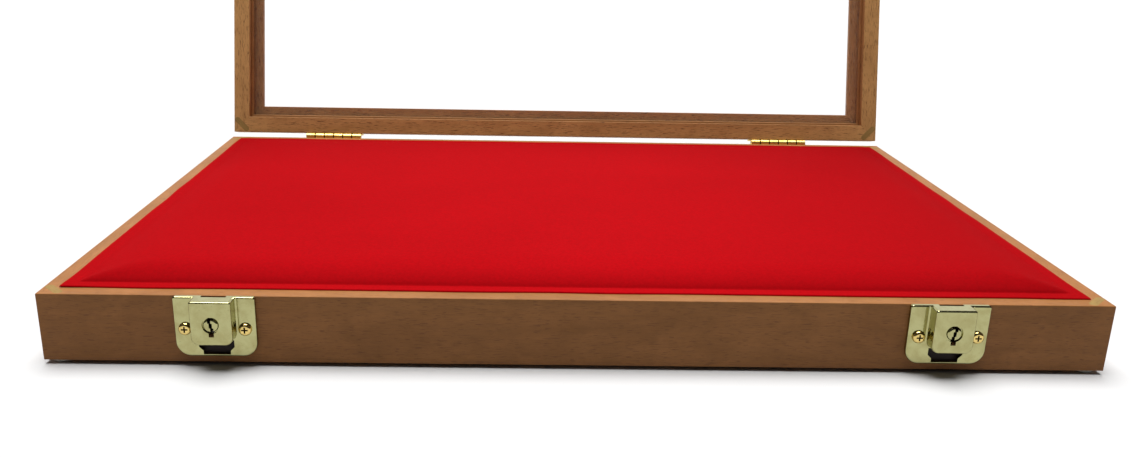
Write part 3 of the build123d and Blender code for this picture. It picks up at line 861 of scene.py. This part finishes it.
def swell(cover, top_count, inset, most):
    """Lets the padding press the cover up, as cloth under pressure.

    The border, the crease and the underside are pinned. A point moves by the cloth's
    own movement m, drawn in to most * m / (most + m).
    """
    mesh = cover.data
    before = np.empty(len(mesh.vertices) * 3)
    mesh.vertices.foreach_get("co", before)
    before = before.reshape(-1, 3)
    free = np.zeros(len(before), bool)
    free[:top_count] = inset > 8.4 * MM
    pins = cover.vertex_groups.new(name="held")
    pins.add(np.flatnonzero(~free).tolist(), 1.0, "REPLACE")
    cloth = cover.modifiers.new("Cover", "CLOTH")
    set_up = cloth.settings
    set_up.quality = 5
    set_up.mass = 0.3
    set_up.tension_stiffness = set_up.compression_stiffness = 25
    set_up.bending_stiffness = 2.0
    set_up.use_pressure = True
    set_up.uniform_pressure_force = 4.0
    set_up.effector_weights.gravity = 0
    set_up.vertex_group_mass = "held"
    cloth.collision_settings.use_collision = False
    cloth.collision_settings.use_self_collision = False
    cloth.point_cache.frame_start, cloth.point_cache.frame_end = 1, 20
    scene = bpy.context.scene
    for step in range(1, 21):
        scene.frame_set(step)
    shaped = cover.evaluated_get(bpy.context.evaluated_depsgraph_get()).to_mesh()
    after = np.empty(len(shaped.vertices) * 3)
    shaped.vertices.foreach_get("co", after)
    moved = after.reshape(-1, 3) - before
    cover.to_mesh_clear()
    cover.modifiers.remove(cloth)
    scene.frame_set(1)
    length = np.linalg.norm(moved, axis=1)[:, None]
    if not np.isfinite(length).all() or length.max() < 1e-5:
        raise RuntimeError("the cover didn't swell; check the cloth's pressure and pins")
    placed = before + moved * most / (most + length)
    placed[~free] = before[~free]
    mesh.vertices.foreach_set("co", placed.ravel())
    mesh.update()
    cover.vertex_groups.clear()


class TRAY_OT_foam(bpy.types.Operator):
    """Build the foam core under the velvet cover"""

    bl_idname = "tray.foam"
    bl_label = "Foam core"

    def execute(self, context):
        low, high = box("pad_foam")
        half = (high[:2] - low[:2]) / 2
        rim = np.array([0.0, 0.1, 1.6, 3.0, 4.4, 6.0, 8.0, 11.0, 15.0, 20.0, 26.0, 34.0]) * MM
        lines = []
        for reach in half:
            inner = np.linspace(reach - rim[-1], rim[-1] - reach, 30)
            lines.append(np.concatenate([reach - rim, inner[1:-1], rim[::-1] - reach])[::-1])
        x, y = np.meshgrid(*lines)
        cover_half = (VELVET[1][:2] - VELVET[0][:2]) / 2
        inset_x, inset_y = cover_half[0] - abs(x), cover_half[1] - abs(y)
        inset = np.minimum(inset_x, inset_y) - 1.5 * MM
        height = cover_height(inset, front_fold(inset_x, inset_y, y)) - 1.6 * MM
        top = WALL_TOP + np.maximum(height, -0.1 * MM)
        foot = PANEL[1][2] + 0.02 * MM
        base = np.full_like(x, foot)
        upper = np.stack([x, y, top], -1)
        upper[[0, -1], :, 2] = foot
        upper[:, [0, -1], 2] = foot
        points, faces = closed_sheet(upper, np.stack([x, y, base], -1)[1:-1, 1:-1])
        core = put_mesh("foam_core", points, faces, smooth=False)
        skin = soft_board("foam", (0.80, 0.78, 0.70), (0.70, 0.67, 0.58), 400)
        hand_over(core, skin, "case", "foam", "pad_foam")
        return {"FINISHED"}


class TRAY_OT_feet(bpy.types.Operator):
    """Build the four bumper feet"""

    bl_idname = "tray.feet"
    bl_label = "Feet"

    def execute(self, context):
        low, high = box("bumper_feet")
        radius, inset = 6.0 * MM, 8.0 * MM
        centre = CASE_HALF - inset
        a = np.linspace(0, math.pi / 2, 7)
        # a sole with a shallow hollow, a quarter-round edge and a side that draws in
        sole = np.stack([2.2 * MM * (1 - np.sin(a)), low[2] + 1.0 * MM * (1 - np.cos(a))], -1)
        hollow = [[4.6 * MM, low[2] + 0.25 * MM], [4.2 * MM, low[2]]]
        shoulder = [[0.35 * MM, high[2] - 0.25 * MM], [0.6 * MM, high[2]]]
        rows = np.concatenate([hollow, sole, shoulder])
        parts = []
        for sx in (-1, 1):
            for sy in (-1, 1):
                points, faces = slab((radius, radius), radius, rows, corner_steps=9)
                points = points.copy()
                points[..., :2] += centre * (sx, sy)
                parts.append((points, faces))
        points, faces, _ = joined(parts)
        feet = put_mesh("feet", points, faces)
        skin = soft_board("foot_rubber", (0.62, 0.61, 0.56), (0.48, 0.47, 0.43), 300)
        hand_over(feet, skin, "case", "foot_rubber", "bumper_feet")
        return {"FINISHED"}


class TRAY_OT_underside(bpy.types.Operator):
    """Finish the floor panel"""

    bl_idname = "tray.underside"
    bl_label = "Floor panel"

    def execute(self, context):
        settle("floor_panel", soft_board("panel_board", (0.42, 0.28, 0.16), (0.30, 0.19, 0.10), 90))
        return {"FINISHED"}


class TRAY_OT_hinges(bpy.types.Operator):
    """Finish the hinges and their screws in polished brass"""

    bl_idname = "tray.hinges"
    bl_label = "Hinges"

    def execute(self, context):
        s = context.scene.tray_metal
        worn = tuple(c * k for c, k in zip(s.hinge, (0.86, 0.80, 0.70)))
        joints = []
        for side in ("left", "right"):
            low, high = box(f"{side}_hinge_case_leaf")
            middle, length = (low[0] + high[0]) / 2, high[0] - low[0]
            shares = (k / KNUCKLES - 0.5 for k in range(1, KNUCKLES))
            joints += [(float(middle + length * share), GAP_HALF) for share in shares]
        brass = metal("hinge_brass", tuple(s.hinge), worn, 0.40, 0.06, 1400, (0.05, 1, 1), joints=joints)
        for node in frame["nodes"]:
            if "_hinge_" in node:
                settle(node, brass)
        return {"FINISHED"}


class TRAY_OT_locks(bpy.types.Operator):
    """Finish the locks, their plugs, bolts, springs and screws, and the hasps"""

    bl_idname = "tray.locks"
    bl_label = "Locks and hasps"

    def execute(self, context):
        s = context.scene.tray_metal
        worn = tuple(c * k for c, k in zip(s.lock, (0.84, 0.80, 0.74)))
        brass = metal("lock_brass", tuple(s.lock), worn, 0.13, 0.04, 1100, (0.12, 1, 1))
        worn_steel, worn_screw = (tuple(c * 0.75 for c in tone) for tone in (s.steel, s.screw))
        steel = metal("lock_steel", tuple(s.steel), worn_steel, 0.36, 0.08, 1500, (0.1, 1, 1))
        head_face, plug_face = box("lock_screws")[0][1], box("left_key_plug")[0][1]
        # places of the painted shade in the screws' crosses and in the keyways
        crosses, plugs = [], []
        for side in ("left", "right"):
            x, _, z = joint_named(f"{side}_plug_turn")["pos_m"]
            plugs.append((x, plug_face + KEYWAY_DEPTH, z, KEYWAY_HALF, KEYWAY_R))
            for shift in (-LOCK_SCREW_SPREAD / 2, LOCK_SCREW_SPREAD / 2):
                place = (x + shift, head_face + CROSS_DEPTH, WALL_TOP - LOCK_SCREW_DROP)
                crosses.append((*place, CROSS_R, CROSS_R))
        screw = metal("screw_brass", tuple(s.screw), worn_screw, 0.16, 0.06, 1600, recesses=crosses)
        plug = metal("plug_brass", tuple(s.lock), worn, 0.14, 0.05, 1100, recesses=plugs)
        for side in ("left", "right"):
            settle(f"{side}_key_plug", plug)
            for part in ("lock_body", "hasp"):
                settle(f"{side}_{part}", brass)
            for part in ("lock_back_plate", "lock_bolt", "bolt_spring"):
                settle(f"{side}_{part}", steel)
        settle("lock_screws", screw)
        settle("hasp_screws", screw)
        return {"FINISHED"}


class TRAY_OT_stage(bpy.types.Operator):
    """Lay the floor, hang the light and set up the camera"""

    bl_idname = "tray.stage"
    bl_label = "Stage"

    def execute(self, context):
        s = context.scene.tray_stage
        scene = context.scene
        line = FLOOR_REACH * np.linspace(-1, 1, FLOOR_LINES)
        x, y = np.meshgrid(line, line)
        points = np.stack([x, y, np.zeros_like(x)], -1)
        floor = put_mesh("floor", points, grid_faces(FLOOR_LINES, FLOOR_LINES), smooth=False)
        floor.data.materials.append(pale_floor("floor", tuple(s.floor)))

        lamp = bpy.data.lights.new("overhead", "SUN")
        lamp.energy = s.light
        lamp.angle = math.radians(44)
        overhead = bpy.data.objects.new("overhead", lamp)
        overhead.rotation_euler = (math.radians(-5), math.radians(-3), 0)
        overhead.location = (0, 0, 2)
        scene.collection.objects.link(overhead)

        glow = bpy.data.lights.new("backdrop_glow", "AREA")
        glow.shape, glow.size, glow.size_y, glow.energy = "RECTANGLE", 8.0, 3.0, s.back
        backdrop = bpy.data.objects.new("backdrop_glow", glow)
        backdrop.location, backdrop.rotation_euler = (0, 5.5, 2.2), (math.radians(-68), 0, 0)
        scene.collection.objects.link(backdrop)

        world = bpy.data.worlds.new("room")
        world.use_nodes = True
        background = world.node_tree.nodes["Background"]
        background.inputs["Color"].default_value = (1.0, 0.99, 0.97, 1.0)
        background.inputs["Strength"].default_value = s.fill
        scene.world = world
        scene.view_settings.view_transform = "Standard"

        yaw, pitch, roll = 0.0185, 0.3074, 0.0187
        ahead = Vector((math.sin(yaw) * math.cos(pitch), math.cos(yaw) * math.cos(pitch), -math.sin(pitch)))
        right = Vector((math.cos(yaw), -math.sin(yaw), 0))
        level, plumb = right, right.cross(ahead)
        right = math.cos(roll) * level + math.sin(roll) * plumb
        up = math.cos(roll) * plumb - math.sin(roll) * level
        lens = bpy.data.cameras.new("camera")
        lens.lens, lens.sensor_width, lens.sensor_fit = s.lens, 36.0, "HORIZONTAL"
        lens.shift_x = 0.0333
        lens.clip_start, lens.clip_end = 0.02, 60
        camera = bpy.data.objects.new("camera", lens)
        place = Vector((-0.03611, -0.73176, 0.25272))
        camera.matrix_world = Matrix.Translation(place) @ Matrix((right, up, -ahead)).transposed().to_4x4()
        scene.collection.objects.link(camera)
        scene.camera = camera
        return {"FINISHED"}


class TRAY_PT_panel(bpy.types.Panel):
    """The tray's settings and the steps that build it"""

    bl_idname = "TRAY_PT_panel"
    bl_label = "Display tray"
    bl_space_type = "VIEW_3D"
    bl_region_type = "UI"
    bl_category = "Display tray"

    def draw(self, context):
        for name in SETTINGS:
            group = getattr(context.scene, name)
            column = self.layout.column(align=True)
            for prop in type(group).__annotations__:
                column.prop(group, prop)
        for operator in OPERATORS:
            self.layout.operator(operator.bl_idname)


SETTINGS = {
    "tray_wood": TrayWoodSettings,
    "tray_pad": TrayPadSettings,
    "tray_metal": TrayMetalSettings,
    "tray_stage": TrayStageSettings,
}
OPERATORS = (
    TRAY_OT_case_walls,
    TRAY_OT_lid_frame,
    TRAY_OT_corner_splines,
    TRAY_OT_glazing,
    TRAY_OT_pad,
    TRAY_OT_foam,
    TRAY_OT_feet,
    TRAY_OT_underside,
    TRAY_OT_hinges,
    TRAY_OT_locks,
    TRAY_OT_stage,
)


def register():
    for group in (*SETTINGS.values(), *OPERATORS, TRAY_PT_panel):
        bpy.utils.register_class(group)
    for name, group in SETTINGS.items():
        setattr(bpy.types.Scene, name, bpy.props.PointerProperty(type=group))


def unregister():
    for name in SETTINGS:
        delattr(bpy.types.Scene, name)
    for group in reversed((*SETTINGS.values(), *OPERATORS, TRAY_PT_panel)):
        bpy.utils.unregister_class(group)


def main():
    register()
    for operator in OPERATORS:
        family, name = operator.bl_idname.split(".")
        getattr(getattr(bpy.ops, family), name)()


if __name__ == "__main__":
    main()
